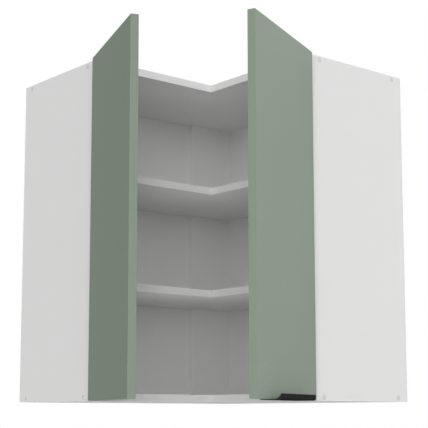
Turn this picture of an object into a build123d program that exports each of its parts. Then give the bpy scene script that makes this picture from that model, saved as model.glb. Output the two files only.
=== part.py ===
from build123d import *
import os

# Corner wall cabinet, L-shaped in plan, in millimetres, +Z up.
# The room's corner is the Z axis. The left arm lies along +X and the right arm along +Y, so that the two
# mirror each other across the upright plane x = y. z = 0 is the underside of the bottom panel.
# Left-hand pieces are made with the door closed, then carried to the open rest pose and mirrored.

os.makedirs("parts", exist_ok=True)

# ---------------------------------------------------------------- carcass sizes
arm_width = 600              # room corner to the outer face of an end panel
carcass_height = 716
carcass_depth = 288          # wall to the front edges
board = 16                   # coated board of the carcass
back_thickness = 3           # hardboard backs, in grooves
back_from_wall = 9           # leaves room for a wall rail
groove_depth = 8
groove_play = 0.5            # groove deeper than the back that it holds
shelf_count = 2
shelf_setback = 15           # shelf front behind the carcass front
shelf_play = 1               # gap round a loose shelf
corner_board_width = 120     # upright board in the back of the left arm
corner_screw_shares = (0.25, 0.75)   # of its width, to the screws in its ends
edge_ease = 0.5              # eased front edges of the end panels

# ---------------------------------------------------------------- carcass fixings
screw_from_back = 28         # panel screws, from the wall
screw_from_front = 35        # and from the carcass front
screw_length = 50
screw_shank_r = 3.3
screw_head_r = 4.8
screw_head_height = 2.6
hole_play = 0.1              # gap round a screw, pin or nail in its hole
cap_r = 5.4
cap_height = 1.0
cap_bevel = 1.8              # inwards from the rim
cap_bevel_height = 0.6

pin_stem_r = 2.45            # shelf pins
pin_stem_length = 8
pin_tongue_length = 8
pin_tongue_width = 8
pin_tongue_height = 2.5
pin_from_edge = 35

nail_r = 0.8
nail_head_r = 1.8
nail_head_height = 0.8
nail_length = 16
nail_spacing = 175

hanger_width = 17            # wall hangers, pegged inside the end panels
hanger_length = 50
hanger_height = 52
hanger_corner_r = 5
hanger_below_top = 8
hanger_peg_r = 5
hanger_peg_length = 11
hanger_peg_spacing = 22
hanger_screw_r = 3.2
hanger_screw_length = 4.5
hanger_screw_spacing = 26
hanger_pocket_depth = 6
cross_slot_length = 4.6      # drive of a screw
cross_slot_width = 1.0
cross_slot_depth = 0.8
hook_thickness = 3
hook_height = 24
hook_throat = 4.5            # behind the back, for the wall rail
hook_lip = 3.5
hook_drop = 6                # lip below the hook
hook_play = 0.3
hook_slot_play = 2           # slot in the back, each side of a hook
hook_slot_room = 4           # above and below it

# ---------------------------------------------------------------- doors and handle
door_thickness = 16
door_gap = 2                 # between the carcass front and a closed door
door_reveal = 2              # end panel's outer face to the door's hinge edge
door_meeting_gap = 2         # between the closed doors at the inner corner
door_end_gap = 1             # door end to the carcass top and bottom
door_round = 0.8
door_open_left = 110         # degrees from closed, at rest
door_open_right = 114
bumper_r = 4
bumper_height = 1.5
bumper_inset = 22

handle_length = 170
handle_from_edge = 51.5      # from the door's free edge
handle_sheet = 1.4           # plate under the door and flange behind it
handle_reach = 24.8          # lip's front, from the door's outer face
handle_grip = 15.4           # lip's front back to where the grip's curve begins
handle_lip_height = 9.85     # above the door's lower edge
handle_lip_tip = 1.2
handle_bend_r = 5
handle_flange_height = 20
handle_screw_inset = 18
handle_screw_r = 1.9
handle_screw_length = 13

# ---------------------------------------------------------------- concealed hinges
hinge_from_end = 100         # door end to the middle of a hinge
cup_r = 17.5                 # bore in the door
cup_depth = 12
cup_play = 0.15
cup_wall = 1.0
cup_from_edge = 22.5         # bore's centre to the door's hinge edge
flange_thickness = 1.2
flange_lap = 1.4             # round flange past the bore
flange_length = 62
flange_width = 12
cup_notch_width = 5.4        # notches in the rim where the links pass over it when closed and when open
cup_notch_depth = 2.8
cup_screw_spacing = 48
cup_screw_offset = 6         # screws lie this much further from the edge than the bore's centre
cup_screw_r = 1.8
cup_screw_head_r = 3.6
cup_screw_head_height = 1.0
cup_screw_length = 10

pole_from_side = 0.5         # the line that the door turns about, inside the end panel's outer face
pole_from_front = 4          # and in front of the carcass front
cup_pin_from_edge = 16       # main cup pin, from the door's hinge edge
cup_pin_from_face = 12       # and from its outer face
link_reach_x = 28.5          # main arm pin to the turning line, the same vector as the outer link's
link_reach_y = 14
crank_tail = 8               # knee pin to tail pin, and main cup pin to second cup pin
guide_offset_x = 13          # main arm pin to guide pin, away from the end panel
guide_offset_y = 5           # and into the cabinet

link_width = 3.6
link_eye_r = 2.8
link_plate = 2.0             # thickness of a link plate
layer_gap = 0.4              # between neighbouring plates
guide_half_height = 1.4
hinge_pin_r = 1.25
hinge_pin_play = 0.08

plate_from_front = 37        # mounting plate's screw line
plate_screw_spacing = 32
plate_wing_width = 12
plate_wing_height = 2.5
plate_wing_lap = 12          # wings past their screws, both ends together
plate_block_height = 15
plate_block_length = 46
plate_block_setback = 12     # screw line to the middle of the block
plate_block_round = 2
plate_screw_r = 2.4
plate_screw_length = 11
plate_screw_head_r = 4.2
plate_screw_head_height = 1.5
arm_sheet = 1.5
arm_side_gap = 0.5           # arm cheeks to the mounting plate's block
arm_wing_gap = 1.0           # arm cheeks to the mounting plate's wings
arm_nose_r = 4.0
arm_nose_length = 8
arm_link_gap = 3             # arm's web to the guide link's eye
arm_overhang = 3             # arm past the rear end of the block
arm_screw_spacing = 24
arm_screw_r = 2.2
arm_screw_head_r = 3.5
arm_screw_head_height = 2.0
arm_screw_length = 8

# ---------------------------------------------------------------- places that follow from the sizes
DIAGONAL = Plane(origin=(0, 0, 0), x_dir=(0, 0, 1), z_dir=(1, -1, 0))
MID_HEIGHT = Plane.XY.offset(carcass_height / 2)
SECTIONS = {"x": (Plane.YZ, 1), "y": (Plane.XZ, -1), "z": (Plane.XY, 1)}
STAY = Location((0, 0, 0))

inner_face = arm_width - board
ceiling = carcass_height - board
compartment = (carcass_height - (shelf_count + 2) * board) / (shelf_count + 1)
shelf_undersides = [board + compartment + step * (board + compartment) for step in range(shelf_count)]
shelf_names = ("shelf_lower", "shelf_upper")
shelf_pin_names = ("shelf_pins_lower", "shelf_pins_upper")
shelf_front = carcass_depth - shelf_setback
back_face = back_from_wall + back_thickness
corner_board_front = back_face + board
corner_board_edge = back_face + corner_board_width

panel_screw_spots = [(depth, height) for depth in (screw_from_back, carcass_depth - screw_from_front)
                     for height in (board / 2, carcass_height - board / 2)]
corner_screw_spots = [(back_face + corner_board_width * share, back_face + board / 2)
                      for share in corner_screw_shares]

nail_heights = [carcass_height / 2 + nail_spacing * step for step in (-1, 0, 1)]
nail_spots = [(corner_board_edge - board / 2, height) for height in nail_heights]
groove_floor = board - groove_depth

pin_heights = [underside - pin_tongue_height / 2 for underside in shelf_undersides]
end_pin_depths = (back_face + pin_from_edge, shelf_front - pin_from_edge)
corner_pin_places = (back_face + pin_from_edge, corner_board_edge - pin_from_edge)

hanger_top = ceiling - hanger_below_top
hanger_middle = hanger_top - hanger_height / 2
hanger_front = back_face + hanger_length
hanger_peg_spots = [(back_face + hanger_length / 2 + offset, hanger_middle)
                    for offset in (-hanger_peg_spacing / 2, hanger_peg_spacing / 2)]
hook_middle = inner_face - hanger_width / 2
hook_front = back_face + hanger_length / 2
hook_throat_back = back_from_wall - hook_throat
hook_top = hanger_middle + hook_height / 2
hook_bottom = hook_top - hook_height
hanger_screw_spots = [(hook_middle, hanger_middle + offset)
                      for offset in (-hanger_screw_spacing / 2, hanger_screw_spacing / 2)]

door_back = carcass_depth + door_gap
door_face = door_back + door_thickness
door_free_edge = door_face + door_meeting_gap
door_hinge_edge = arm_width - door_reveal
door_width = door_hinge_edge - door_free_edge
door_bottom = door_end_gap
door_top = carcass_height - door_end_gap
hinge_heights = (door_bottom + hinge_from_end, door_top - hinge_from_end)

handle_start = door_free_edge + handle_from_edge
handle_low = door_bottom - handle_sheet
handle_back = door_back - handle_sheet
lip_front = door_face + handle_reach
lip_top = door_bottom + handle_lip_height
handle_screw_spots = [(handle_start + inset, door_bottom + handle_flange_height / 2)
                      for inset in (handle_screw_inset, handle_length / 2, handle_length - handle_screw_inset)]

# Each hinge is two linked parallelograms, so that the door turns about a line where no pin could stand.
# The arm pins, the knee and the turning line make one; the knee, the tail and the two cup pins the other.
pole = Vector(arm_width - pole_from_side, carcass_depth + pole_from_front)
link_reach = Vector(link_reach_x, link_reach_y)
guide_offset = Vector(-guide_offset_x, -guide_offset_y)
cup_pin = Vector(door_hinge_edge - cup_pin_from_edge, door_face - cup_pin_from_face)
second_cup_pin = cup_pin - Vector(crank_tail, 0)
arm_pin = pole - link_reach
knee_pin = cup_pin - link_reach
tail_pin = second_cup_pin - link_reach
guide_pin = arm_pin + guide_offset
guide_knee_pin = knee_pin + guide_offset

# The plates lie in layers from a hinge's middle outwards: guide, inner links, cranks, outer links, cheeks.
inner_layer = guide_half_height + layer_gap
crank_layer = inner_layer + link_plate + layer_gap
outer_layer = crank_layer + link_plate + layer_gap
cheek_layer = outer_layer + link_plate + layer_gap
arm_half_height = cheek_layer + arm_sheet

cup_middle = door_hinge_edge - cup_from_edge
cup_spots = [(cup_middle, height) for height in hinge_heights]
cup_outer_r = cup_r - cup_play
cup_inner_r = cup_outer_r - cup_wall
cup_wall_y = door_back - flange_thickness
cup_screw_spots = [(cup_middle - cup_screw_offset, height + offset) for height in hinge_heights
                   for offset in (-cup_screw_spacing / 2, cup_screw_spacing / 2)]

plate_line = carcass_depth - plate_from_front
plate_screw_spots = [(plate_line, height + offset) for height in hinge_heights
                     for offset in (-plate_screw_spacing / 2, plate_screw_spacing / 2)]
block_middle = plate_line - plate_block_setback
block_face = inner_face - plate_block_height
arm_back = block_middle - plate_block_length / 2 - arm_overhang
arm_front = guide_pin.Y - link_eye_r - arm_link_gap
arm_outside = block_face - arm_sheet
arm_inside = inner_face - plate_wing_height - arm_wing_gap
arm_screw_spots = [(block_middle + offset, height) for height in hinge_heights
                   for offset in (-arm_screw_spacing / 2, arm_screw_spacing / 2)]


# ---------------------------------------------------------------- shapes that repeat, made in the piece at hand
def bars(axis, spots, radius, start, end, mode=Mode.ADD):
    """Round bars, or holes, along an axis from one place on it to another, at spots across it."""
    plane, sense = SECTIONS[axis]
    with BuildSketch(plane.offset(sense * start)) as ends:
        with Locations(*spots):
            Circle(radius)
    extrude(ends.sketch, amount=sense * (end - start), mode=mode)


def panel_screw_bars(play=0, mode=Mode.ADD):
    """The left end's panel screws, heads flush with the end panel, or the holes that take them."""
    bars("x", panel_screw_spots, screw_head_r + play, arm_width, arm_width - screw_head_height, mode)
    bars("x", panel_screw_spots, screw_shank_r + play, arm_width, arm_width - screw_length - play, mode)


def corner_screw_bars(play=0, mode=Mode.ADD):
    """Screws up through the bottom panel into the corner board, or the holes that take them."""
    bars("z", corner_screw_spots, screw_head_r + play, 0, screw_head_height, mode)
    bars("z", corner_screw_spots, screw_shank_r + play, 0, screw_length + play, mode)


def nail_bars(play=0, mode=Mode.ADD):
    """Nails through the left back into the corner board, heads flush, or the holes that take them."""
    bars("y", nail_spots, nail_head_r + play, back_from_wall, back_from_wall + nail_head_height, mode)
    bars("y", nail_spots, nail_r + play, back_from_wall, back_from_wall + nail_length + play, mode)


def corner_pin_bars(height, start, end, play=0, mode=Mode.ADD):
    """Pins out of the corner board's front at one height, or the holes that take them."""
    bars("y", [(place, height) for place in corner_pin_places], pin_stem_r + play, start, end, mode)


def cross_recesses(axis, spots, surface, inwards):
    """Crossed slots for a screwdriver, cut into screw heads along an axis, one way or the other."""
    plane, sense = SECTIONS[axis]
    with BuildSketch(plane.offset(sense * surface)) as slots:
        with Locations(*spots):
            Rectangle(cross_slot_length, cross_slot_width)
            Rectangle(cross_slot_width, cross_slot_length)
    extrude(slots.sketch, amount=sense * inwards * cross_slot_depth, mode=Mode.SUBTRACT)


def l_outline(back, front, end):
    """The corners of an L-shaped panel, both arms alike."""
    return (back, back), (end, back), (end, front), (front, front), (front, end), (back, end)


def upright_pins(pins, low, high, radius=hinge_pin_r, mode=Mode.ADD):
    """Upright round pins, or bores, from low to high about the middle of each hinge."""
    for middle in hinge_heights:
        bars("z", [(pin.X, pin.Y) for pin in pins], radius, middle + low, middle + high, mode)


def cup_pin_reach(pin):
    """Half the length of a cup pin, from the middle of the cup to half way through its wall."""
    return (cup_outer_r ** 2 - (pin.X - cup_middle) ** 2) ** 0.5 - cup_wall / 2


def link_plates(pins, layers, thickness):
    """Flat plates from pin to pin in each hinge: straight bars with a bored eye round every pin."""
    spots = [(pin.X, pin.Y) for pin in pins]
    for level in [middle + layer for middle in hinge_heights for layer in layers]:
        with BuildSketch(Plane.XY.offset(level)) as outline:
            for start, end in zip(pins, pins[1:]):
                SlotCenterPoint((start + end) * 0.5, end, link_width)
            with Locations(*spots):
                Circle(link_eye_r)
            with Locations(*spots):
                Circle(hinge_pin_r + hinge_pin_play, mode=Mode.SUBTRACT)
        extrude(outline.sketch, amount=thickness)


def both_ways(layer, thickness):
    """The lower faces of a plate above a hinge's middle and of its twin below."""
    return layer, -layer - thickness


def turned_about(pin, angle):
    """The move that turns a piece clockwise in plan about an upright line."""
    there = Location((pin.X, pin.Y, 0))
    return there * Location((0, 0, 0), (0, 0, -angle)) * there.inverse()


def carried_by(turn, pin):
    """The move of a link that a turning pin carries and that keeps its own direction."""
    return Location((turn * Location((pin.X, pin.Y, 0))).position - Vector(pin.X, pin.Y))


# ---------------------------------------------------------------- end panel
with BuildPart() as end_panel:
    with BuildSketch(Plane.XY):
        with Locations((inner_face, 0)):
            Rectangle(board, carcass_depth, align=Align.MIN)
    extrude(amount=carcass_height)
    chamfer(end_panel.faces().sort_by(Axis.Y)[-1].edges(), edge_ease)
    with BuildSketch(Plane.XY.offset(groove_floor)):
        with Locations((inner_face, back_from_wall)):
            Rectangle(groove_depth, back_thickness, align=Align.MIN)
    extrude(amount=carcass_height - 2 * groove_floor, mode=Mode.SUBTRACT)
    panel_screw_bars(hole_play, Mode.SUBTRACT)
    bars("x", [(depth, height) for depth in end_pin_depths for height in pin_heights],
         pin_stem_r + hole_play, inner_face, inner_face + pin_stem_length + hole_play, Mode.SUBTRACT)
    bars("x", hanger_peg_spots, hanger_peg_r + hole_play,
         inner_face, inner_face + hanger_peg_length + hole_play, Mode.SUBTRACT)
    bars("x", plate_screw_spots, plate_screw_r + hole_play,
         inner_face, inner_face + plate_screw_length + hole_play, Mode.SUBTRACT)

# ---------------------------------------------------------------- bottom and top panels
with BuildPart() as bottom_panel:
    with BuildSketch(Plane.XY):
        Polygon(*l_outline(0, carcass_depth, inner_face), align=None)
    extrude(amount=board)
    with BuildSketch(Plane.XY.offset(board)):
        with Locations((back_from_wall, back_from_wall)):
            Rectangle(inner_face - back_from_wall, back_thickness, align=Align.MIN)
    extrude(amount=-groove_depth, mode=Mode.SUBTRACT)
    panel_screw_bars(hole_play, Mode.SUBTRACT)
    mirror(about=DIAGONAL, mode=Mode.INTERSECT)
    corner_screw_bars(hole_play, Mode.SUBTRACT)

with BuildPart() as top_panel:
    mirror(bottom_panel.part, about=MID_HEIGHT)

# ---------------------------------------------------------------- corner board
with BuildPart() as corner_board:
    with BuildSketch(Plane.XY.offset(board)):
        with Locations((back_face, back_face)):
            Rectangle(corner_board_width, board, align=Align.MIN)
    extrude(amount=carcass_height - 2 * board)
    corner_screw_bars(hole_play, Mode.SUBTRACT)
    mirror(about=MID_HEIGHT, mode=Mode.INTERSECT)
    nail_bars(hole_play, Mode.SUBTRACT)
    for underside in shelf_undersides:
        corner_pin_bars(underside + board / 2, corner_board_front, corner_board_front - pin_stem_length - hole_play,
                        hole_play, Mode.SUBTRACT)

with BuildPart() as corner_board_screws:
    corner_screw_bars()
    cross_recesses("z", corner_screw_spots, 0, 1)
    mirror(about=MID_HEIGHT)

# ---------------------------------------------------------------- backs in their grooves, slotted for the hooks
def back_sheet(start):
    """A back from a place on the left wall to the groove in the left end panel, without its nails."""
    low = groove_floor + groove_play
    with BuildSketch(Plane.XZ.offset(-back_from_wall)) as outline:
        with Locations((start, low)):
            Rectangle(arm_width - low - start, carcass_height - 2 * low, align=Align.MIN)
        with Locations((hook_middle, hanger_middle)):
            Rectangle(hook_thickness + 2 * hook_slot_play, hook_height + 2 * hook_slot_room, mode=Mode.SUBTRACT)
    extrude(outline.sketch, amount=-back_thickness)


with BuildPart() as back_panel_left:
    back_sheet(back_face)
    nail_bars(hole_play, Mode.SUBTRACT)

# The right-hand back closes the room corner, so it is wider by the left-hand back's thickness.
with BuildPart() as back_panel_right_unturned:
    back_sheet(back_from_wall)

with BuildPart() as back_panel_right:
    mirror(back_panel_right_unturned.part, about=DIAGONAL)

with BuildPart() as corner_board_nails:
    nail_bars()

# ---------------------------------------------------------------- loose shelves on their pins
# The ends rest on pins with tongues. The corner rests on plain pins in its back edge, which nothing shows.
shelf_parts = {}
for name, pin_name, underside, pin_height in zip(shelf_names, shelf_pin_names, shelf_undersides, pin_heights):
    with BuildPart() as shelf:
        with BuildSketch(Plane.XY.offset(underside)):
            Polygon(*l_outline(back_face + shelf_play, shelf_front, inner_face - shelf_play), align=None)
            Rectangle(corner_board_edge + shelf_play, corner_board_front + shelf_play, align=Align.MIN,
                      mode=Mode.SUBTRACT)
        extrude(amount=board)
        corner_pin_bars(underside + board / 2, corner_board_front, corner_board_front + pin_tongue_length + hole_play,
                        hole_play, Mode.SUBTRACT)
    shelf_parts[name] = shelf

    end_spots = [(depth, pin_height) for depth in end_pin_depths]
    with BuildPart() as shelf_pins:
        bars("x", end_spots, pin_stem_r, inner_face, inner_face + pin_stem_length)
        with BuildSketch(Plane.YZ.offset(inner_face)):
            with Locations(*end_spots):
                Rectangle(pin_tongue_width, pin_tongue_height)
        extrude(amount=-pin_tongue_length)
        mirror(about=DIAGONAL)
        corner_pin_bars(underside + board / 2, corner_board_front - pin_stem_length,
                        corner_board_front + pin_tongue_length)
    shelf_parts[pin_name] = shelf_pins

# ---------------------------------------------------------------- panel screws and their caps
with BuildPart() as panel_screws:
    panel_screw_bars()

with BuildPart() as screw_caps:
    bars("x", panel_screw_spots, cap_r, arm_width, arm_width + cap_height)
    chamfer(screw_caps.faces().group_by(Axis.X)[-1].edges(), cap_bevel_height, cap_bevel)

# ---------------------------------------------------------------- wall hangers
with BuildPart() as wall_hanger:
    with BuildSketch(Plane.XY.offset(hanger_top - hanger_height)):
        with Locations((inner_face - hanger_width, back_face)):
            Rectangle(hanger_width, hanger_length, align=Align.MIN)
    extrude(amount=hanger_height)
    fillet(wall_hanger.edges().filter_by(Axis.Z).group_by(Axis.X)[0].sort_by(Axis.Y)[-1], hanger_corner_r)
    bars("x", hanger_peg_spots, hanger_peg_r, inner_face, inner_face + hanger_peg_length)
    with BuildSketch(Plane.YZ.offset(hook_middle)):
        with Locations((back_face, hanger_middle)):
            Rectangle(hanger_length / 2 + hook_play, hook_height + 2 * hook_play, align=(Align.MIN, Align.CENTER))
    extrude(amount=hook_thickness / 2 + hook_play, both=True, mode=Mode.SUBTRACT)
    bars("y", hanger_screw_spots, hanger_screw_r + hook_play, hanger_front, hanger_front - hanger_pocket_depth,
         Mode.SUBTRACT)

with BuildPart() as hanger_hook:
    with BuildSketch(Plane.YZ.offset(hook_middle)):
        Polygon((hook_front, hook_bottom), (hook_front, hook_top), (hook_throat_back - hook_lip, hook_top),
                (hook_throat_back - hook_lip, hook_bottom - hook_drop), (hook_throat_back, hook_bottom - hook_drop),
                (hook_throat_back, hanger_middle), (back_from_wall, hanger_middle), (back_from_wall, hook_bottom),
                align=None)
    extrude(amount=hook_thickness / 2, both=True)

with BuildPart() as hanger_screws:
    bottom_of_pocket = hanger_front - hanger_pocket_depth
    bars("y", hanger_screw_spots, hanger_screw_r, bottom_of_pocket, bottom_of_pocket + hanger_screw_length)
    cross_recesses("y", hanger_screw_spots, bottom_of_pocket + hanger_screw_length, -1)

# ---------------------------------------------------------------- hinge mounting plates
with BuildPart() as hinge_mounting_plates:
    with BuildSketch(Plane.YZ.offset(inner_face)):
        with Locations(*[(block_middle, height) for height in hinge_heights]):
            RectangleRounded(plate_block_length, 2 * (cheek_layer - arm_side_gap), plate_block_round)
    extrude(amount=-plate_block_height)
    with BuildSketch(Plane.YZ.offset(inner_face)):
        with Locations(*[(plate_line, height) for height in hinge_heights]):
            SlotOverall(plate_screw_spacing + plate_wing_lap, plate_wing_width, rotation=90)
    extrude(amount=-plate_wing_height)
    bars("x", plate_screw_spots, plate_screw_r + hole_play, inner_face, inner_face - plate_wing_height,
         Mode.SUBTRACT)
    bars("x", arm_screw_spots, arm_screw_r + hole_play, block_face, block_face + arm_screw_length + hole_play,
         Mode.SUBTRACT)

with BuildPart() as hinge_plate_screws:
    head_seat = inner_face - plate_wing_height
    bars("x", plate_screw_spots, plate_screw_r, head_seat, inner_face + plate_screw_length)
    bars("x", plate_screw_spots, plate_screw_head_r, head_seat, head_seat - plate_screw_head_height)
    cross_recesses("x", plate_screw_spots, head_seat - plate_screw_head_height, 1)

# ---------------------------------------------------------------- hinge arms, channels open towards the plate
with BuildPart() as hinge_arms:
    arm_pin_spots = [(arm_pin.X, arm_pin.Y), (guide_pin.X, guide_pin.Y)]
    for middle in hinge_heights:
        for low in both_ways(cheek_layer, arm_sheet):
            with BuildSketch(Plane.XY.offset(middle + low)):
                with Locations(*arm_pin_spots):
                    Circle(arm_nose_r)
                with Locations((arm_outside, arm_front)):
                    Rectangle(arm_inside - arm_outside, arm_nose_length, align=(Align.MIN, Align.MAX))
                make_hull()
                with Locations((arm_outside, arm_back)):
                    Rectangle(arm_inside - arm_outside, arm_front - arm_back, align=Align.MIN)
                with Locations(*arm_pin_spots):
                    Circle(hinge_pin_r + hinge_pin_play, mode=Mode.SUBTRACT)
            extrude(amount=arm_sheet)
        with BuildSketch(Plane.XY.offset(middle - cheek_layer)):
            with Locations((arm_outside, arm_back)):
                Rectangle(arm_sheet, arm_front - arm_back, align=Align.MIN)
        extrude(amount=2 * cheek_layer)
    bars("x", arm_screw_spots, arm_screw_r + hole_play, arm_outside, block_face, Mode.SUBTRACT)

with BuildPart() as hinge_arm_screws:
    bars("x", arm_screw_spots, arm_screw_r, arm_outside, block_face + arm_screw_length)
    bars("x", arm_screw_spots, arm_screw_head_r, arm_outside, arm_outside - arm_screw_head_height)
    cross_recesses("x", arm_screw_spots, arm_outside - arm_screw_head_height, 1)

with BuildPart() as hinge_arm_pins:
    upright_pins((arm_pin, guide_pin), -arm_half_height, arm_half_height)

# ---------------------------------------------------------------- hinge links
with BuildPart() as hinge_cranks:
    link_plates((arm_pin, knee_pin, tail_pin), both_ways(crank_layer, link_plate), link_plate)

with BuildPart() as hinge_outer_links:
    link_plates((guide_knee_pin, knee_pin, cup_pin), both_ways(outer_layer, link_plate), link_plate)

with BuildPart() as hinge_inner_links:
    link_plates((tail_pin, second_cup_pin), both_ways(inner_layer, link_plate), link_plate)

with BuildPart() as hinge_guide_links:
    link_plates((guide_pin, guide_knee_pin), (-guide_half_height,), 2 * guide_half_height)

with BuildPart() as hinge_knee_pins:
    upright_pins((knee_pin,), crank_layer, outer_layer + link_plate)
    upright_pins((knee_pin,), -outer_layer - link_plate, -crank_layer)
    upright_pins((tail_pin,), -crank_layer - link_plate, crank_layer + link_plate)

with BuildPart() as hinge_guide_pins:
    upright_pins((guide_knee_pin,), -outer_layer - link_plate, outer_layer + link_plate)

# ---------------------------------------------------------------- hinge cups in the door
with BuildPart() as hinge_cups:
    bars("y", cup_spots, cup_outer_r, door_back, door_back + cup_depth - cup_play)
    with BuildSketch(Plane.XZ.offset(-door_back)):
        with Locations(*cup_spots):
            Circle(cup_r + flange_lap)
        with Locations(*[(cup_middle - cup_screw_offset, height) for height in hinge_heights]):
            SlotOverall(flange_length, flange_width, rotation=90)
    extrude(amount=flange_thickness)
    bars("y", cup_spots, cup_inner_r, cup_wall_y, door_back + cup_depth - cup_play - cup_wall, Mode.SUBTRACT)
    bars("y", cup_screw_spots, cup_screw_r + hole_play, cup_wall_y, door_back, Mode.SUBTRACT)
    upright_pins((cup_pin, second_cup_pin), -cup_r, cup_r, hinge_pin_r + hinge_pin_play, Mode.SUBTRACT)
    for middle in hinge_heights:
        for sense, half_height in ((-1, crank_layer), (1, cheek_layer)):
            with BuildSketch(Plane.XY.offset(middle)):
                with Locations((cup_middle + sense * (cup_r + flange_lap), cup_wall_y)):
                    Rectangle(2 * cup_notch_width, cup_notch_depth, align=(Align.CENTER, Align.MIN))
            extrude(amount=half_height, both=True, mode=Mode.SUBTRACT)

with BuildPart() as hinge_cup_pins:
    for pin in (cup_pin, second_cup_pin):
        upright_pins((pin,), -cup_pin_reach(pin), cup_pin_reach(pin))

with BuildPart() as hinge_cup_screws:
    bars("y", cup_screw_spots, cup_screw_head_r, cup_wall_y, cup_wall_y - cup_screw_head_height)
    bars("y", cup_screw_spots, cup_screw_r, cup_wall_y, door_back + cup_screw_length)
    cross_recesses("y", cup_screw_spots, cup_wall_y - cup_screw_head_height, 1)

# ---------------------------------------------------------------- doors
with BuildPart() as plain_door:
    with BuildSketch(Plane.XY.offset(door_bottom)):
        with Locations((door_free_edge, door_back)):
            Rectangle(door_width, door_thickness, align=Align.MIN)
    extrude(amount=door_top - door_bottom)
    fillet(plain_door.faces().sort_by(Axis.Y)[-1].edges(), door_round)
    bars("y", cup_spots, cup_r, door_back, door_back + cup_depth, Mode.SUBTRACT)
    bars("y", cup_screw_spots, cup_screw_r + hole_play, door_back, door_back + cup_screw_length + hole_play,
         Mode.SUBTRACT)

with BuildPart() as handled_door:
    add(plain_door.part)
    bars("y", handle_screw_spots, handle_screw_r + hole_play, door_back,
         handle_back + handle_screw_length + hole_play, Mode.SUBTRACT)

with BuildPart() as door_bumpers:
    bumper_spots = [(door_free_edge + bumper_inset, height) for height in (board / 2, carcass_height - board / 2)]
    bars("y", bumper_spots, bumper_r, door_back, door_back - bumper_height)
    chamfer(door_bumpers.faces().group_by(Axis.Y)[0].edges(), bumper_height / 2)


# ---------------------------------------------------------------- edge handle under the right-hand door
def handle_screw_heads(play=0, mode=Mode.ADD):
    """Countersunk heads as deep as the handle's flange, or the hollows that take them."""
    with BuildSketch(Plane.XZ.offset(-handle_back)) as rims:
        with Locations(*handle_screw_spots):
            Circle(handle_screw_r + handle_sheet + play)
    extrude(rims.sketch, amount=-handle_sheet, taper=45, mode=mode)


with BuildPart() as edge_handle:
    with BuildSketch(Plane.YZ.offset(handle_start)):
        with BuildLine():
            grip_start = (lip_front - handle_grip, door_bottom)
            lip_tip = (lip_front - handle_lip_tip, lip_top)
            TangentArc(grip_start, lip_tip, tangent=(1, 0))
            Polyline(lip_tip, (lip_front, lip_top), (lip_front, handle_low + handle_bend_r))
            CenterArc((lip_front - handle_bend_r, handle_low + handle_bend_r), handle_bend_r, 0, -90)
            Polyline((lip_front - handle_bend_r, handle_low), (handle_back, handle_low),
                     (handle_back, door_bottom + handle_flange_height),
                     (door_back, door_bottom + handle_flange_height), (door_back, door_bottom), grip_start)
        make_face()
    extrude(amount=handle_length)
    bars("y", handle_screw_spots, handle_screw_r + hole_play, handle_back, door_back, Mode.SUBTRACT)
    handle_screw_heads(hole_play, Mode.SUBTRACT)

with BuildPart() as handle_screws:
    handle_screw_heads()
    bars("y", handle_screw_spots, handle_screw_r, handle_back, handle_back + handle_screw_length)
    cross_recesses("y", handle_screw_spots, handle_back, 1)

# ---------------------------------------------------------------- pieces made in place
for name, piece in {
    "bottom_panel": bottom_panel, "top_panel": top_panel, "corner_board": corner_board,
    "corner_board_screws": corner_board_screws, "corner_board_nails": corner_board_nails,
    "back_panel_left": back_panel_left, "back_panel_right": back_panel_right, **shelf_parts,
}.items():
    piece.part.label = name
    export_step(piece.part, f"parts/{name}.step")

# ---------------------------------------------------------------- left-hand pieces, carried to both sides
fixed_pieces = {
    "end_panel": end_panel, "panel_screws": panel_screws, "screw_caps": screw_caps, "wall_hanger": wall_hanger,
    "hanger_hook": hanger_hook, "hanger_screws": hanger_screws, "hinge_mounting_plates": hinge_mounting_plates,
    "hinge_plate_screws": hinge_plate_screws, "hinge_arms": hinge_arms, "hinge_arm_screws": hinge_arm_screws,
    "hinge_arm_pins": hinge_arm_pins,
}
door_pieces = {
    "hinge_cups": hinge_cups, "hinge_cup_pins": hinge_cup_pins, "hinge_cup_screws": hinge_cup_screws,
    "door_bumpers": door_bumpers,
}

for side, opened in (("left", door_open_left), ("right", door_open_right)):
    door_move = turned_about(pole, opened)
    crank_move = turned_about(arm_pin, opened)
    guide_move = turned_about(guide_pin, opened)
    placed = {f"{name}_{side}": (piece, STAY) for name, piece in fixed_pieces.items()}
    placed |= {f"{name}_{side}": (piece, door_move) for name, piece in door_pieces.items()}
    placed |= {
        f"hinge_cranks_{side}": (hinge_cranks, crank_move),
        f"hinge_knee_pins_{side}": (hinge_knee_pins, crank_move),
        f"hinge_guide_links_{side}": (hinge_guide_links, guide_move),
        f"hinge_outer_links_{side}": (hinge_outer_links, carried_by(crank_move, knee_pin)),
        f"hinge_guide_pins_{side}": (hinge_guide_pins, carried_by(crank_move, knee_pin)),
        f"hinge_inner_links_{side}": (hinge_inner_links, carried_by(crank_move, tail_pin)),
    }
    if side == "left":
        placed |= {"door_left": (plain_door, door_move)}
    else:
        placed |= {"door_right": (handled_door, door_move), "edge_handle": (edge_handle, door_move),
                   "handle_screws": (handle_screws, door_move)}

    for name, (piece, move) in placed.items():
        with BuildPart() as rest_piece:
            if side == "left":
                add(piece.part.moved(move))
            else:
                mirror(piece.part.moved(move), about=DIAGONAL)
        rest_piece.part.label = name
        export_step(rest_piece.part, f"parts/{name}.step")
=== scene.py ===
import logging
import math
from collections.abc import Mapping, Sequence
from dataclasses import dataclass
from enum import Enum
from typing import Protocol, Union

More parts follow.
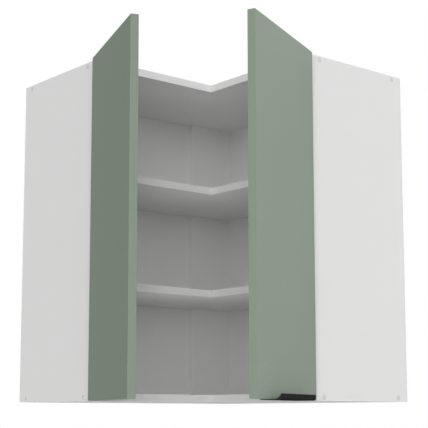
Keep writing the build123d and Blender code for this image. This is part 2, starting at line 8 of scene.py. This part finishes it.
import bpy
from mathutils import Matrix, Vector

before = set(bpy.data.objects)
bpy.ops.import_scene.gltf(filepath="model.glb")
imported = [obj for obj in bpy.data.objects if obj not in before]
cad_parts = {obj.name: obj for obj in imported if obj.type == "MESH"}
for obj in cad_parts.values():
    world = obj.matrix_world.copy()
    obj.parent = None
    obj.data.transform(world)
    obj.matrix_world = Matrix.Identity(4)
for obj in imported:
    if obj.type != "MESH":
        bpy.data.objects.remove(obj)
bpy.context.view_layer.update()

Colour = tuple[float, float, float]
Triple = tuple[float, float, float]
Operand = Union["Signal", float, int]

log = logging.getLogger("corner_cabinet")
NODES: Mapping[str, bpy.types.Object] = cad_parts
NOISE_MIDDLE = 0.5  # the mean of a Noise Texture node


# ------------------------------------------------------------------ shader building
class Signal:
    """A number that varies over a surface, held as an output socket, with arithmetic on it."""

    def __init__(self, sheet: "Sheet", socket: bpy.types.NodeSocket) -> None:
        """Wraps one output socket of a sheet's nodes."""
        self.sheet = sheet
        self.socket = socket

    def _math(self, operation: str, *operands: Operand) -> "Signal":
        """Returns the result of one Math node on signals or numbers, given in order."""
        made = self.sheet.node("ShaderNodeMath", {"operation": operation}, dict(enumerate(operands)))
        return Signal(self.sheet, made.outputs[0])

    def __add__(self, other: Operand) -> "Signal":
        """Returns self + other."""
        return self._math("ADD", self, other)

    def __radd__(self, other: Operand) -> "Signal":
        """Returns other + self."""
        return self._math("ADD", other, self)

    def __sub__(self, other: Operand) -> "Signal":
        """Returns self - other."""
        return self._math("SUBTRACT", self, other)

    def __rsub__(self, other: Operand) -> "Signal":
        """Returns other - self."""
        return self._math("SUBTRACT", other, self)

    def __mul__(self, other: Operand) -> "Signal":
        """Returns self * other."""
        return self._math("MULTIPLY", self, other)

    def __rmul__(self, other: Operand) -> "Signal":
        """Returns other * self."""
        return self._math("MULTIPLY", other, self)

    def __abs__(self) -> "Signal":
        """Returns the size of self without its sign."""
        return self._math("ABSOLUTE", self)

    def __lt__(self, other: Operand) -> "Signal":
        """Returns 1 where self is below other, and 0 elsewhere."""
        return self._math("LESS_THAN", self, other)

    def highest(self, other: Operand) -> "Signal":
        """Returns the larger of self and other at each point."""
        return self._math("MAXIMUM", self, other)


class Sheet:
    """The node sheet of one material, or of the world, while it is drawn."""

    def __init__(self, tree: bpy.types.NodeTree) -> None:
        """Clears a node tree and keeps it to draw on."""
        self.tree = tree
        tree.nodes.clear()

    def node(self, kind: str, settings: Mapping[str, object] | None = None,
             inputs: Mapping[str | int, object] | None = None) -> bpy.types.Node:
        """Adds one node.

        Args:
            kind: the node's type name.
            settings: properties that are set first, such as an operation.
            inputs: values, sockets or signals by the input's name or place.

        Returns:
            The new node.
        """
        made = self.tree.nodes.new(kind)
        for name, setting in (settings or {}).items():
            setattr(made, name, setting)
        for key, given in (inputs or {}).items():
            self.feed(made.inputs[key], given)
        return made

    def feed(self, entry: bpy.types.NodeSocket, given: object) -> None:
        """Gives an input its link or its value.

        Args:
            entry: the input socket.
            given: a signal, an output socket or a value.
        """
        if isinstance(given, Signal):
            given = given.socket
        if isinstance(given, bpy.types.NodeSocket):
            self.tree.links.new(given, entry)
        else:
            entry.default_value = given

    def place(self) -> bpy.types.NodeSocket:
        """Returns the surface point in the piece's own frame, which moves with its body."""
        return self.node("ShaderNodeTexCoord").outputs["Object"]

    def stretched(self, place: bpy.types.NodeSocket, by: Triple) -> bpy.types.NodeSocket:
        """Returns a place scaled differently along each axis."""
        return self.node("ShaderNodeVectorMath", {"operation": "MULTIPLY"}, {0: place, 1: by}).outputs[0]

    def along(self, place: bpy.types.NodeSocket, way: Triple) -> Signal:
        """Returns how far a place lies along a direction, in metres."""
        made = self.node("ShaderNodeVectorMath", {"operation": "DOT_PRODUCT"}, {0: place, 1: way})
        return Signal(self, made.outputs["Value"])

    def noise(self, place: bpy.types.NodeSocket, scale: float, detail: float = 2.0,
              harshness: float = 0.5) -> Signal:
        """Draws smooth noise about 0.

        Args:
            place: where to read it.
            scale: features in a metre.
            detail: octaves of finer noise.
            harshness: strength of the finer octaves.

        Returns:
            The noise, between about -0.5 and 0.5.
        """
        inputs = {"Vector": place, "Scale": scale, "Detail": detail, "Roughness": harshness}
        noise = Signal(self, self.node("ShaderNodeTexNoise", None, inputs).outputs["Fac"])
        return noise - NOISE_MIDDLE

    def tinted(self, colour: Colour, strength: Signal) -> bpy.types.NodeSocket:
        """Returns a colour multiplied by a signal."""
        inputs = {0: colour, "Scale": strength}
        return self.node("ShaderNodeVectorMath", {"operation": "SCALE"}, inputs).outputs[0]

    def mixed(self, share: Signal, first: object, second: object) -> bpy.types.NodeSocket:
        """Turns one colour into another.

        Args:
            share: how much of the second colour shows, from 0 to 1.
            first: the colour at 0, as numbers or a socket.
            second: the colour at 1, as numbers or a socket.

        Returns:
            The colour in between.
        """
        mix = self.node("ShaderNodeMix", {"data_type": "RGBA"}, {0: share})
        entries = [socket for socket in mix.inputs if socket.type == "RGBA"]
        for entry, given in zip(entries, (first, second)):
            self.feed(entry, (*given, 1.0) if isinstance(given, tuple) else given)
        return next(socket for socket in mix.outputs if socket.type == "RGBA")

    def bump(self, relief: Signal, height: float) -> bpy.types.NodeSocket:
        """Returns a normal raised by a relief from -1 to 1 times a height in metres."""
        return self.node("ShaderNodeBump", None, {"Height": relief, "Distance": height}).outputs[0]

    def seen_directly(self) -> Signal:
        """Tells what is looked at from what only sheds light.

        Returns:
            1 for what the camera sees, straight, mirrored or through glass, and 0 for bounced light.
        """
        path = self.node("ShaderNodeLightPath")
        camera, glossy, through = (Signal(self, path.outputs[name]) for name in (
            "Is Camera Ray", "Is Glossy Ray", "Is Transmission Ray"))
        return camera.highest(glossy).highest(through)

    def close(self, **sockets: object) -> None:
        """Ends a material with one principled shader.

        Args:
            **sockets: the shader's inputs, with underscores for spaces.
        """
        inputs = {name.replace("_", " "): given for name, given in sockets.items()}
        shader = self.node("ShaderNodeBsdfPrincipled", None, inputs)
        self.node("ShaderNodeOutputMaterial", None, {"Surface": shader.outputs[0]})


def grey(level: float) -> Colour:
    """Returns a colour without a tint."""
    return level, level, level


BLACK = grey(0.0)
PAPER_WHITE = grey(1.0)
BOARD_WHITE: Colour = (0.85, 0.85, 0.845)
CHIPBOARD: Colour = (0.42, 0.29, 0.17)
HARDBOARD: Colour = (0.3, 0.2, 0.12)
SAGE: Colour = (0.268, 0.33, 0.26)
HANDLE_BLACK: Colour = (0.03, 0.03, 0.031)
CAP_PLASTIC: Colour = (0.68, 0.68, 0.67)
HANGER_PLASTIC: Colour = (0.74, 0.74, 0.72)
BUMPER_PLASTIC: Colour = (0.62, 0.62, 0.6)
ZINC: Colour = (0.58, 0.6, 0.63)
NICKEL: Colour = (0.7, 0.69, 0.66)
DULL_NICKEL: Colour = (0.68, 0.67, 0.63)
BARE_STEEL = grey(0.56)


class Arm(Enum):
    """An arm of the cabinet, with the direction straight out of the wall behind it."""

    LEFT = (0.0, 1.0, 0.0)
    RIGHT = (1.0, 0.0, 0.0)

    @property
    def side(self) -> str:
        """Returns the word that ends the names of its pieces."""
        return self.name.lower()

    @property
    def out_of_wall(self) -> Triple:
        """Returns the direction straight out of the wall behind it."""
        return self.value

    def span(self, name: str) -> tuple[float, float]:
        """Measures a piece straight out of this arm's wall.

        Args:
            name: a piece of the cabinet that doesn't move.

        Returns:
            How far off the wall its back and its front lie, in metres.
        """
        way = Vector(self.out_of_wall)
        offsets = [way.dot(Vector(corner)) for corner in NODES[name].bound_box]
        return min(offsets), max(offsets)


# ------------------------------------------------------------------ finishes
@dataclass(frozen=True)
class Finish:
    """What all finishes share.

    Attributes:
        name: the material's name.
        colour: its main colour.
    """

    name: str
    colour: Colour

    def material(self) -> bpy.types.Material:
        """Makes the finish.

        Returns:
            The finish as a material.
        """
        made = bpy.data.materials.new(self.name)
        made.use_nodes = True
        self._draw(Sheet(made.node_tree))
        return made

    def _draw(self, sheet: Sheet) -> None:
        """Draws the finish's nodes on its empty sheet."""
        raise NotImplementedError


@dataclass(frozen=True)
class CoatedBoard(Finish):
    """Board in a hard even coat with a pearl emboss, bare on the sides that face the wall.

    Attributes:
        roughness: the coat's roughness.
        specular: how strongly it shines.
        cloud_scale: soft clouds in a metre.
        cloud_tone: how far they change the tone.
        cloud_gloss: how far they change the roughness.
        grain_scale: pearls in a metre.
        grain_tone: how far they change the tone.
        emboss: the height of the pearls, in metres.
        band_lines: a direction and a place on it for the hairline beside each edge band.
        line_width: the width of that hairline, in metres.
        line_shade: how much darker it is.
        inner_corner: how far off both walls two edge bands meet, in a fine upright line, if they do.
        joint_and_shade_reach: how far that line and its painted shade reach to either side, in metres.
        joint_line_and_painted_shade: how much darker the joint line is, made darker still as painted
            shade.
        bare_sides: a direction and the place on it below which the board is bare.
        bare_colour: the bare board.
        bare_dullness: how much rougher it is than the coat.
        chip_scale: its chips in a metre.
        chip_detail: octaves of finer chips.
        chip_harshness: strength of the finer chips.
        chip_tone: how far the chips change the tone.
    """

    roughness: float = 0.62
    specular: float = 0.3
    cloud_scale: float = 5.0
    cloud_tone: float = 0.03
    cloud_gloss: float = 0.12
    grain_scale: float = 700.0
    grain_tone: float = 0.015
    emboss: float = 0.00004
    band_lines: tuple[tuple[Triple, float], ...] = ()
    line_width: float = 0.0004
    line_shade: float = 0.25
    inner_corner: float | None = None
    joint_and_shade_reach: float = 0.0007
    joint_line_and_painted_shade: float = 0.4
    bare_sides: tuple[tuple[Triple, float], ...] = ()
    bare_colour: Colour = CHIPBOARD
    bare_dullness: float = 0.25
    chip_scale: float = 330.0
    chip_detail: float = 4.0
    chip_harshness: float = 0.7
    chip_tone: float = 1.2

    def _draw(self, sheet: Sheet) -> None:
        """Draws the coat, its hairlines, the painted shade in the inner corner and the bare sides.

        Args:
            sheet: the finish's empty sheet.
        """
        place = sheet.place()
        cloud = sheet.noise(place, self.cloud_scale, detail=3.0)
        grain = sheet.noise(place, self.grain_scale)
        tone = 1 + self.cloud_tone * cloud + self.grain_tone * grain
        for way, offset in self.band_lines:
            off_line = abs(sheet.along(place, way) - offset)
            tone = tone * (1 - self.line_shade * (off_line < self.line_width / 2))
        # the joint where two edge bands meet at the inner corner: a real joint line, darkened further as
        # painted shade over the light that gathers in that corner
        if self.inner_corner is not None:
            off_left, off_right = (abs(sheet.along(place, arm.out_of_wall) - self.inner_corner)
                                   for arm in Arm)
            tone = tone * (1 - self.joint_line_and_painted_shade * (off_left.highest(off_right) < self.joint_and_shade_reach))
        colour = sheet.tinted(self.colour, tone)
        roughness = self.roughness + self.cloud_gloss * cloud
        for way, limit in self.bare_sides:
            bare = sheet.along(place, way) < limit
            chips = sheet.noise(place, self.chip_scale, self.chip_detail, self.chip_harshness)
            chipped = sheet.tinted(self.bare_colour, 1 + self.chip_tone * chips)
            colour = sheet.mixed(bare, colour, chipped)
            roughness = roughness + self.bare_dullness * bare
        sheet.close(Base_Color=colour, Roughness=roughness, Normal=sheet.bump(grain, self.emboss),
                    Specular_IOR_Level=self.specular)


@dataclass(frozen=True)
class MattLacquer(Finish):
    """A sprayed matt lacquer: even colour, faint orange peel, slightly polished patches.

    Attributes:
        roughness: its roughness.
        specular: how strongly it shines.
        cloud_scale: soft patches in a metre.
        cloud_tone: how far they change the tone.
        cloud_gloss: how far they change the roughness.
        peel_scale: dimples of the orange peel in a metre.
        peel_tone: how far they change the tone.
        peel_height: their height, in metres.
    """

    roughness: float = 0.7
    specular: float = 0.12
    cloud_scale: float = 4.0
    cloud_tone: float = 0.025
    cloud_gloss: float = 0.1
    peel_scale: float = 320.0
    peel_tone: float = 0.02
    peel_height: float = 0.00003

    def _draw(self, sheet: Sheet) -> None:
        """Draws the lacquer.

        Args:
            sheet: the finish's empty sheet.
        """
        place = sheet.place()
        cloud = sheet.noise(place, self.cloud_scale, detail=3.0)
        peel = sheet.noise(place, self.peel_scale, harshness=0.6)
        tone = 1 + self.cloud_tone * cloud + self.peel_tone * peel
        sheet.close(Base_Color=sheet.tinted(self.colour, tone),
                    Roughness=self.roughness + self.cloud_gloss * cloud,
                    Normal=sheet.bump(peel, self.peel_height), Specular_IOR_Level=self.specular)


@dataclass(frozen=True)
class PlatedSteel(Finish):
    """Pressed or turned steel under a thin bright plating, with fine drawing lines and dull spots.

    Attributes:
        roughness: its roughness.
        lines: drawing lines in a metre along each axis.
        line_tone: how far they change the tone.
        line_gloss: how far they change the roughness.
        line_height: their height, in metres.
        spot_scale: dull spots in a metre.
        spot_tone: how far they change the tone.
        spot_gloss: how far they change the roughness.
    """

    roughness: float
    lines: Triple = (60.0, 60.0, 2500.0)
    line_tone: float = 0.06
    line_gloss: float = 0.12
    line_height: float = 0.00002
    spot_scale: float = 260.0
    spot_tone: float = 0.1
    spot_gloss: float = 0.18

    def _draw(self, sheet: Sheet) -> None:
        """Draws the plating.

        Args:
            sheet: the finish's empty sheet.
        """
        place = sheet.place()
        drawn = sheet.noise(sheet.stretched(place, self.lines), scale=1.0, detail=3.0)
        spots = sheet.noise(place, self.spot_scale, detail=3.0, harshness=0.65)
        tone = 1 + self.spot_tone * spots + self.line_tone * drawn
        sheet.close(Base_Color=sheet.tinted(self.colour, tone), Metallic=1.0,
                    Roughness=self.roughness + self.spot_gloss * spots + self.line_gloss * drawn,
                    Normal=sheet.bump(drawn, self.line_height))


@dataclass(frozen=True)
class BlackCoat(Finish):
    """A dead matt black coat on an extruded profile, with faint lines along the extrusion.

    Attributes:
        across: lines in a metre along each axis, few along the profile.
        roughness: the coat's roughness.
        tone: how far its lines and its fine grain change the tone.
        line_gloss: how far the lines change the roughness.
        grain_scale: grains in a metre.
        grain_height: the height of a grain, in metres.
    """

    across: Triple
    roughness: float = 0.42
    tone: float = 0.3
    line_gloss: float = 0.1
    grain_scale: float = 900.0
    grain_height: float = 0.00002

    def _draw(self, sheet: Sheet) -> None:
        """Draws the coat, without a shine.

        Args:
            sheet: the finish's empty sheet.
        """
        place = sheet.place()
        lines = sheet.noise(sheet.stretched(place, self.across), scale=1.0, detail=3.0)
        grain = sheet.noise(place, self.grain_scale)
        tone = 1 + self.tone * lines + self.tone * grain
        sheet.close(Base_Color=sheet.tinted(self.colour, tone),
                    Roughness=self.roughness + self.line_gloss * lines,
                    Normal=sheet.bump(grain, self.grain_height), Specular_IOR_Level=0.0)


@dataclass(frozen=True)
class Moulded(Finish):
    """Injection-moulded plastic with a fine spark-eroded texture.

    Attributes:
        roughness: its roughness.
        specular: how strongly it shines.
        cloud_scale: soft patches in a metre.
        cloud_tone: how far they change the tone.
        cloud_gloss: how far they change the roughness.
        texture_scale: pits of the texture in a metre.
        texture_height: their height, in metres.
    """

    roughness: float = 0.5
    specular: float = 0.4
    cloud_scale: float = 60.0
    cloud_tone: float = 0.03
    cloud_gloss: float = 0.1
    texture_scale: float = 1400.0
    texture_height: float = 0.00003

    def _draw(self, sheet: Sheet) -> None:
        """Draws the plastic.

        Args:
            sheet: the finish's empty sheet.
        """
        place = sheet.place()
        cloud = sheet.noise(place, self.cloud_scale)
        pits = sheet.noise(place, self.texture_scale)
        sheet.close(Base_Color=sheet.tinted(self.colour, 1 + self.cloud_tone * cloud),
                    Roughness=self.roughness + self.cloud_gloss * cloud,
                    Normal=sheet.bump(pits, self.texture_height), Specular_IOR_Level=self.specular)


@dataclass(frozen=True)
class FloorPaper(Finish):
    """Dull paper of its full colour to look at, and darker in the light that it gives back.

    Attributes:
        bounce: how white it is for that light.
        glow: what is added to its look where no lamp reaches it.
    """

    bounce: float
    glow: float

    def _draw(self, sheet: Sheet) -> None:
        """Draws the paper.

        Args:
            sheet: the finish's empty sheet.
        """
        seen = sheet.seen_directly()
        paper = sheet.mixed(seen, grey(self.bounce), self.colour)
        glow = sheet.mixed(seen, BLACK, grey(self.glow))
        sheet.close(Base_Color=paper, Emission_Color=glow, Emission_Strength=1.0, Roughness=1.0,
                    Specular_IOR_Level=0.0)


# ------------------------------------------------------------------ carried-over pieces
class Edge(Enum):
    """How the edges of a carried-over piece are eased, in metres."""

    BOARD = 0.0004
    BANDED = 0.00015
    SHEET_METAL = 0.0002
    MOULDED = 0.0003
    SHARP = 0.0


WELD_REACH = 0.00001  # in metres, joins the points that neighbouring faces hold twice
EASE_STEPS = 2
EASED_FROM = math.radians(40)  # the least turn of the surface that counts as an edge


def dress(names: Sequence[str], finish: bpy.types.Material, edge: Edge) -> list[str]:
    """Gives carried-over pieces their finish and eased edges.

    Args:
        names: the pieces' names.
        finish: the material for all of them.
        edge: how their edges are eased.

    Returns:
        The pieces' names.
    """
    for name in names:
        piece = NODES[name]
        piece.data.materials.clear()
        piece.data.materials.append(finish)
        if edge is not Edge.SHARP:
            weld = piece.modifiers.new("weld", "WELD")
            weld.merge_threshold = WELD_REACH
            ease = piece.modifiers.new("ease", "BEVEL")
            ease.width = edge.value
            ease.segments = EASE_STEPS
            ease.limit_method = "ANGLE"
            ease.angle_limit = EASED_FROM
            ease.use_clamp_overlap = True
    return list(names)


def on_both_arms(kinds: Sequence[str]) -> list[str]:
    """Returns the names that pieces of some kinds have on the left arm, and then on the right."""
    return [f"{kind}_{arm.side}" for arm in Arm for kind in kinds]


class SubAssembly(Protocol):
    """What every sub-assembly of the cabinet can do."""

    def build(self) -> list[str]:
        """Returns the names of its pieces, once they are dressed."""


def inner_corner(name: str) -> float:
    """Finds the inner front corner of an L-shaped board, which lies equally far off both walls.

    Args:
        name: the board's name.

    Returns:
        How far off the walls the corner lies, in metres.
    """
    points = [vertex.co for vertex in NODES[name].data.vertices]
    arm_end = max(point.x for point in points)
    return max(point.y for point in points if arm_end - point.x < WELD_REACH)


@dataclass
class Carcass:
    """The boards, backs, fixings and caps that make the L-shaped box.

    Attributes:
        band: the thickness of the edge bands, in metres.
        rim: how deep the boards are bare on their wall side, in metres.
        back_rim: how deep the backs are.
    """

    band: float = 0.0008
    rim: float = 0.0003
    back_rim: float = 0.0005

    def build(self) -> list[str]:
        """Returns the names of the carcass's pieces, once they are dressed."""
        return self._ends_and_backs() + self._l_boards() + self._fixings()

    def _ends_and_backs(self) -> list[str]:
        """Dresses the end panels and the backs of both arms.

        Returns:
            The names of the pieces.
        """
        dressed = []
        for arm in Arm:
            end_name, back_name = f"end_panel_{arm.side}", f"back_panel_{arm.side}"
            wall, front = arm.span(end_name)
            end = CoatedBoard(f"white_board_end_{arm.side}", BOARD_WHITE,
                              band_lines=((arm.out_of_wall, front - self.band),),
                              bare_sides=((arm.out_of_wall, wall + self.rim),))
            dressed += dress([end_name], end.material(), Edge.BOARD)
            wall, _ = arm.span(back_name)
            back = CoatedBoard(f"white_hardboard_{arm.side}", BOARD_WHITE, roughness=0.55,
                               emboss=0.00002, bare_sides=((arm.out_of_wall, wall + self.back_rim),),
                               bare_colour=HARDBOARD, chip_scale=1200.0)
            dressed += dress([back_name], back.material(), Edge.SHARP)
        return dressed

    def _l_boards(self) -> list[str]:
        """Dresses the top, the bottom, the shelves and the corner board.

        Returns:
            The names of the pieces.
        """
        panels, shelves = ["bottom_panel", "top_panel"], ["shelf_lower", "shelf_upper"]
        rims = tuple((arm.out_of_wall, arm.span(panels[0])[0] + self.rim) for arm in Arm)
        rimmed = CoatedBoard("white_board_rimmed", BOARD_WHITE, bare_sides=rims,
                             inner_corner=inner_corner(panels[0]))
        plain = CoatedBoard("white_board", BOARD_WHITE, inner_corner=inner_corner(shelves[0]))
        return (dress(panels, rimmed.material(), Edge.BANDED)
                + dress(["corner_board", *shelves], plain.material(), Edge.BANDED))

    def _fixings(self) -> list[str]:
        """Dresses the caps, screws, nails and shelf pins.

        Returns:
            The names of the pieces.
        """
        plastic = Moulded("white_cap_plastic", CAP_PLASTIC).material()
        zinc = PlatedSteel("zinc_plate", ZINC, roughness=0.38).material()
        nickel = PlatedSteel("nickel_pins", DULL_NICKEL, roughness=0.26).material()
        screws = [*on_both_arms(["panel_screws"]), "corner_board_screws"]
        return (dress(on_both_arms(["screw_caps"]), plastic, Edge.SHARP)
                + dress([*screws, "corner_board_nails"], zinc, Edge.SHARP)
                + dress(["shelf_pins_lower", "shelf_pins_upper"], nickel, Edge.SHEET_METAL))


@dataclass
class WallHangers:
    """The pegged plastic hangers with the steel hooks that carry the cabinet.

    Attributes:
        housings: the kinds of plastic piece.
        steel: the kinds of steel piece.
    """

    housings: tuple[str, ...] = ("wall_hanger",)
    steel: tuple[str, ...] = ("hanger_hook", "hanger_screws")

    def build(self) -> list[str]:
        """Dresses the hangers, their hooks and their screws.

        Returns:
            The names of the pieces.
        """
        plastic = Moulded("hanger_plastic", HANGER_PLASTIC).material()
        zinc = PlatedSteel("zinc_hooks", ZINC, roughness=0.35).material()
        return (dress(on_both_arms(self.housings), plastic, Edge.MOULDED)
                + dress(on_both_arms(self.steel), zinc, Edge.SHEET_METAL))


@dataclass
class ConcealedHinges:
    """The folding hinges of both doors.

    Attributes:
        pressed: the kinds of piece that are cut and bent from sheet.
        pins: the kinds of turned pin.
        screws: the kinds of screw.
    """

    pressed: tuple[str, ...] = ("hinge_mounting_plates", "hinge_arms", "hinge_cranks",
                                "hinge_outer_links", "hinge_inner_links", "hinge_guide_links",
                                "hinge_cups")
    pins: tuple[str, ...] = ("hinge_arm_pins", "hinge_knee_pins", "hinge_guide_pins", "hinge_cup_pins")
    screws: tuple[str, ...] = ("hinge_plate_screws", "hinge_arm_screws", "hinge_cup_screws")

    def build(self) -> list[str]:
        """Dresses the pressed pieces, the pins and the screws.

        Returns:
            The names of the pieces.
        """
        nickel = PlatedSteel("nickel_plate", NICKEL, roughness=0.24).material()
        turned = PlatedSteel("turned_steel", BARE_STEEL, roughness=0.3, lines=(2500.0, 60.0, 60.0))
        zinc = PlatedSteel("zinc_screws", ZINC, roughness=0.36).material()
        return (dress(on_both_arms(self.pressed), nickel, Edge.SHEET_METAL)
                + dress(on_both_arms(self.pins), turned.material(), Edge.SHARP)
                + dress(on_both_arms(self.screws), zinc, Edge.SHARP))


@dataclass
class Doors:
    """The two flat slab doors, their bumpers and the edge handle.

    Attributes:
        right_door_turn: how far the right door stands open at rest, in degrees.
        line_pitch: lines in a metre across the handle's profile.
    """

    right_door_turn: float = 114.0
    line_pitch: float = 3000.0

    def build(self) -> list[str]:
        """Dresses the doors and what is on them.

        Returns:
            The names of the pieces.
        """
        sage = MattLacquer("sage_lacquer", SAGE).material()
        clear = Moulded("clear_bumpers", BUMPER_PLASTIC, roughness=0.3, texture_height=0.00001)
        turn = math.radians(self.right_door_turn)
        across = (self.line_pitch * math.cos(turn), self.line_pitch * math.sin(turn), self.line_pitch)
        black = BlackCoat("black_coat", HANDLE_BLACK, across).material()
        return (dress(on_both_arms(["door"]), sage, Edge.SHARP)
                + dress(on_both_arms(["door_bumpers"]), clear.material(), Edge.SHARP)
                + dress(["edge_handle", "handle_screws"], black, Edge.SHARP))


# ------------------------------------------------------------------ studio
def put(name: str, data: bpy.types.ID) -> bpy.types.Object:
    """Puts a new object in the scene.

    Args:
        name: its name.
        data: its mesh, lamp or camera.

    Returns:
        The object.
    """
    made = bpy.data.objects.new(name, data)
    bpy.context.scene.collection.objects.link(made)
    return made


def outward(azimuth: float, elevation: float) -> Vector:
    """Works out the way from the cabinet to a place round it.

    Args:
        azimuth: degrees round from +X.
        elevation: degrees up from level.

    Returns:
        The way, one metre long.
    """
    around = math.radians(azimuth)
    up = math.radians(elevation)
    return Vector((math.cos(around) * math.cos(up), math.sin(around) * math.cos(up), math.sin(up)))


def aim(thing: bpy.types.Object, heading: Vector, axis: str) -> None:
    """Turns a lamp or a camera until one of its axes points along a heading."""
    thing.rotation_mode = "QUATERNION"
    thing.rotation_quaternion = heading.to_track_quat(axis, "Y")


@dataclass(frozen=True)
class Lamp:
    """A wide soft lamp, far off.

    Attributes:
        name: its name.
        azimuth: where it stands, in degrees round from +X.
        elevation: how high it stands, in degrees.
        strength: its light, in watts per square metre.
        softness: how wide it is seen from the cabinet, in degrees.
    """

    name: str
    azimuth: float
    elevation: float
    strength: float
    softness: float = 45.0

    def build(self) -> None:
        """Makes the lamp, which shines from where it stands towards the cabinet."""
        data = bpy.data.lights.new(self.name, "SUN")
        data.energy = self.strength
        data.angle = math.radians(self.softness)
        aim(put(self.name, data), outward(self.azimuth, self.elevation), "Z")
        log.info("lamp %s set at azimuth %.0f, elevation %.0f", self.name, self.azimuth, self.elevation)


@dataclass
class Studio:
    """A pale floor far below the hanging cabinet, even light all round and five soft lamps.

    Attributes:
        floor_height: where the floor lies, in metres.
        floor_size: how wide it is, in metres.
        floor_bounce: how white the floor is for the light that it gives back.
        floor_glow: what is added to the floor's look where no lamp reaches it.
        sky: the strength of the even light.
        lamps: the lamps.
    """

    floor_height: float = -1.4
    floor_size: float = 60.0
    floor_bounce: float = 0.3
    floor_glow: float = 0.4
    sky: float = 0.28
    lamps: tuple[Lamp, ...] = (
        Lamp("front", azimuth=46.0, elevation=20.0, strength=1.4),
        Lamp("low", azimuth=50.0, elevation=-7.0, strength=0.95),
        Lamp("below", azimuth=50.0, elevation=-55.0, strength=0.8),
        Lamp("side", azimuth=178.0, elevation=15.0, strength=1.85),
        Lamp("behind", azimuth=225.0, elevation=30.0, strength=0.85),
    )

    def build(self) -> None:
        """Makes the world, the floor and the lamps."""
        self._world()
        self._floor()
        for lamp in self.lamps:
            lamp.build()

    def _world(self) -> None:
        """Makes a world that is white to look at and lights the cabinet evenly."""
        world = bpy.data.worlds.new("studio")
        world.use_nodes = True
        bpy.context.scene.world = world
        sheet = Sheet(world.node_tree)
        light = sheet.mixed(sheet.seen_directly(), grey(self.sky), PAPER_WHITE)
        background = sheet.node("ShaderNodeBackground", None, {"Color": light, "Strength": 1.0})
        sheet.node("ShaderNodeOutputWorld", None, {"Surface": background.outputs[0]})

    def _floor(self) -> None:
        """Makes the floor. It casts no shadow, because two of the lamps stand below it."""
        half = self.floor_size / 2
        ring = ((-half, -half), (half, -half), (half, half), (-half, half))
        mesh = bpy.data.meshes.new("floor")
        mesh.from_pydata([(x, y, self.floor_height) for x, y in ring], [], [(0, 1, 2, 3)])
        floor = put("floor", mesh)
        floor.visible_shadow = False
        paper = FloorPaper("floor_paper", PAPER_WHITE, self.floor_bounce, self.floor_glow)
        mesh.materials.append(paper.material())
        log.info("floor laid %.1f m below the cabinet", -self.floor_height)


@dataclass
class Viewpoint:
    """The camera: level with the cabinet's underside, looking up a little into its corner.

    Attributes:
        place: where it stands, in metres.
        azimuth: where it stands as seen from what it looks at, in degrees round from +X.
        pitch: how far it looks up, in degrees.
        focal_pixels: its focal length in pixels of the frame.
        frame_pixels: the width of the frame.
        shift: how far the frame is moved sideways and up, as a share of its width.
        sensor: the width of its sensor, in millimetres.
    """

    place: Triple = (1.92804, 2.24524, -0.02628)
    azimuth: float = 50.251
    pitch: float = 7.77
    focal_pixels: float = 1154.33
    frame_pixels: float = 428.0
    shift: tuple[float, float] = (0.0167, 0.1)
    sensor: float = 36.0

    def build(self) -> None:
        """Makes the scene's camera."""
        data = bpy.data.cameras.new("camera")
        data.sensor_width = self.sensor
        data.lens = self.focal_pixels / self.frame_pixels * self.sensor
        data.shift_x, data.shift_y = self.shift
        camera = put("camera", data)
        camera.location = self.place
        aim(camera, -outward(self.azimuth, -self.pitch), "-Z")
        bpy.context.scene.camera = camera
        log.info("camera placed")


def main() -> None:
    """Dresses the cabinet, reports every piece, and sets up the studio and the camera."""
    logging.basicConfig(level=logging.INFO, format="%(name)s: %(message)s")
    parts: tuple[SubAssembly, ...] = (Carcass(), WallHangers(), ConcealedHinges(), Doors())
    for part in parts:
        for name in part.build():
            finish = NODES[name].data.materials[0].name
            log.info("%s: piece %s dressed in %s", type(part).__name__, name, finish)
    Studio().build()
    Viewpoint().build()
    bpy.context.scene.view_settings.view_transform = "Standard"


if __name__ == "__main__":
    main()
